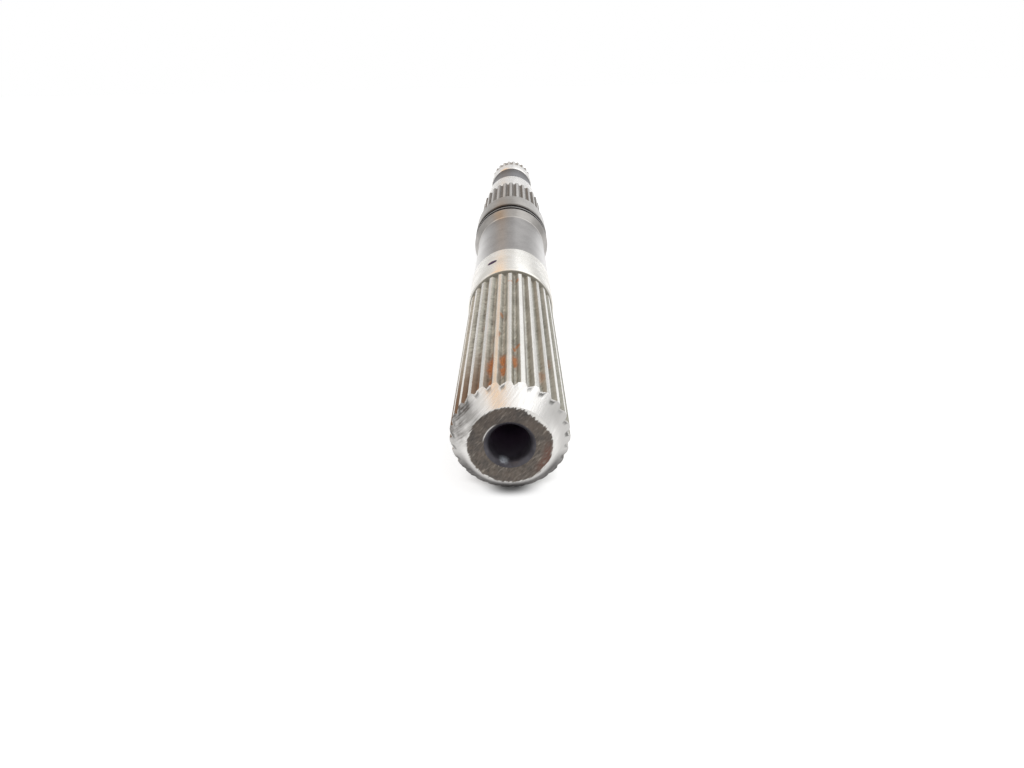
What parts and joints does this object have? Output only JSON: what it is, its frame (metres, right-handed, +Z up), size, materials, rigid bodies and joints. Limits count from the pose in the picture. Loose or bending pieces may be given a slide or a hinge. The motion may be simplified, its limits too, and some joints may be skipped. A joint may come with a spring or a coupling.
{
  "type": "gearbox output shaft",
  "caption": "One-piece turned steel output shaft with splines along its tail, a ground gear seat, a grooved collar, a second spline, a bearing journal and a splined pilot.",
  "frame": {"origin": "on the axis at the flat end face round the drilled bore", "axes": "+Y runs along the axis from the drilled end to the pilot, +Z is up as the shaft lies, +X is to the right when looking at the drilled end"},
  "size_m": [0.0354, 0.3851, 0.0354],
  "materials": {
    "turned_steel": "ground on the seat, journals and tooth lands, dull and dark between the teeth and on the body, with light rust"
  },
  "bodies": {
    "root": {"output_shaft": "turned_steel"}
  },
  "joints": []
}
